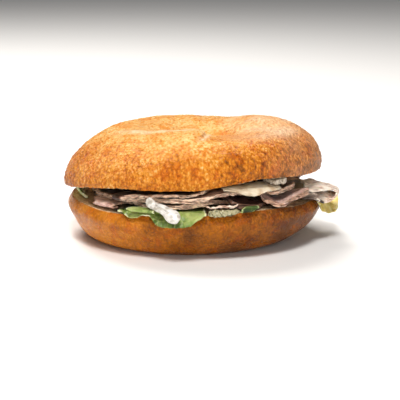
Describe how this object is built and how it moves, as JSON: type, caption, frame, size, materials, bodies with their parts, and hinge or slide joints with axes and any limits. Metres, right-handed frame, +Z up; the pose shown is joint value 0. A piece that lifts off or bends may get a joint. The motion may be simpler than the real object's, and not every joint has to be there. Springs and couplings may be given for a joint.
{
  "type": "filled bagel",
  "caption": "Halved bagel with a closed-up hole, filled with lettuce, folded slices of roast beef, white cheese and a run of white dressing.",
  "frame": {"origin": "middle of the bagel, on the flat base that it rests on", "axes": "+Z up through both halves, -Y towards the side where the dressing runs down, +X towards the side where the doubled slice hangs out"},
  "size_m": [0.1217, 0.1198, 0.0523],
  "materials": {
    "upper_crust": "baked golden crust, finely blistered and slightly glossy",
    "lower_crust": "baked brown crust, smooth and satin",
    "green_leaf": "fresh green lettuce, veined and satin",
    "pale_leaf": "yellow-green inner lettuce leaf, satin",
    "beef": "thin roast beef, fibrous and moist",
    "browned_beef": "browned outside of roast beef, rough",
    "cheese": "limp white cheese, satin",
    "dressing": "thick white dressing, glossy"
  },
  "bodies": {
    "root": {"bagel_bottom": "lower_crust", "bagel_top": "upper_crust", "lettuce_front": "green_leaf", "lettuce_right": "pale_leaf", "lettuce_back": "green_leaf", "lettuce_left": "green_leaf", "lettuce_tongue": "green_leaf", "lettuce_curl": "green_leaf", "lettuce_shreds": "dressing", "beef_low": "beef", "beef_nose": "beef", "beef_dark": "browned_beef", "beef_middle": "beef", "beef_right": "beef", "beef_upper": "beef", "beef_back": "beef", "beef_tucked": "beef", "beef_fold": "beef", "beef_shreds": "beef", "cheese": "cheese", "dressing_spread": "dressing", "dressing_run": "dressing"}
  },
  "joints": []
}
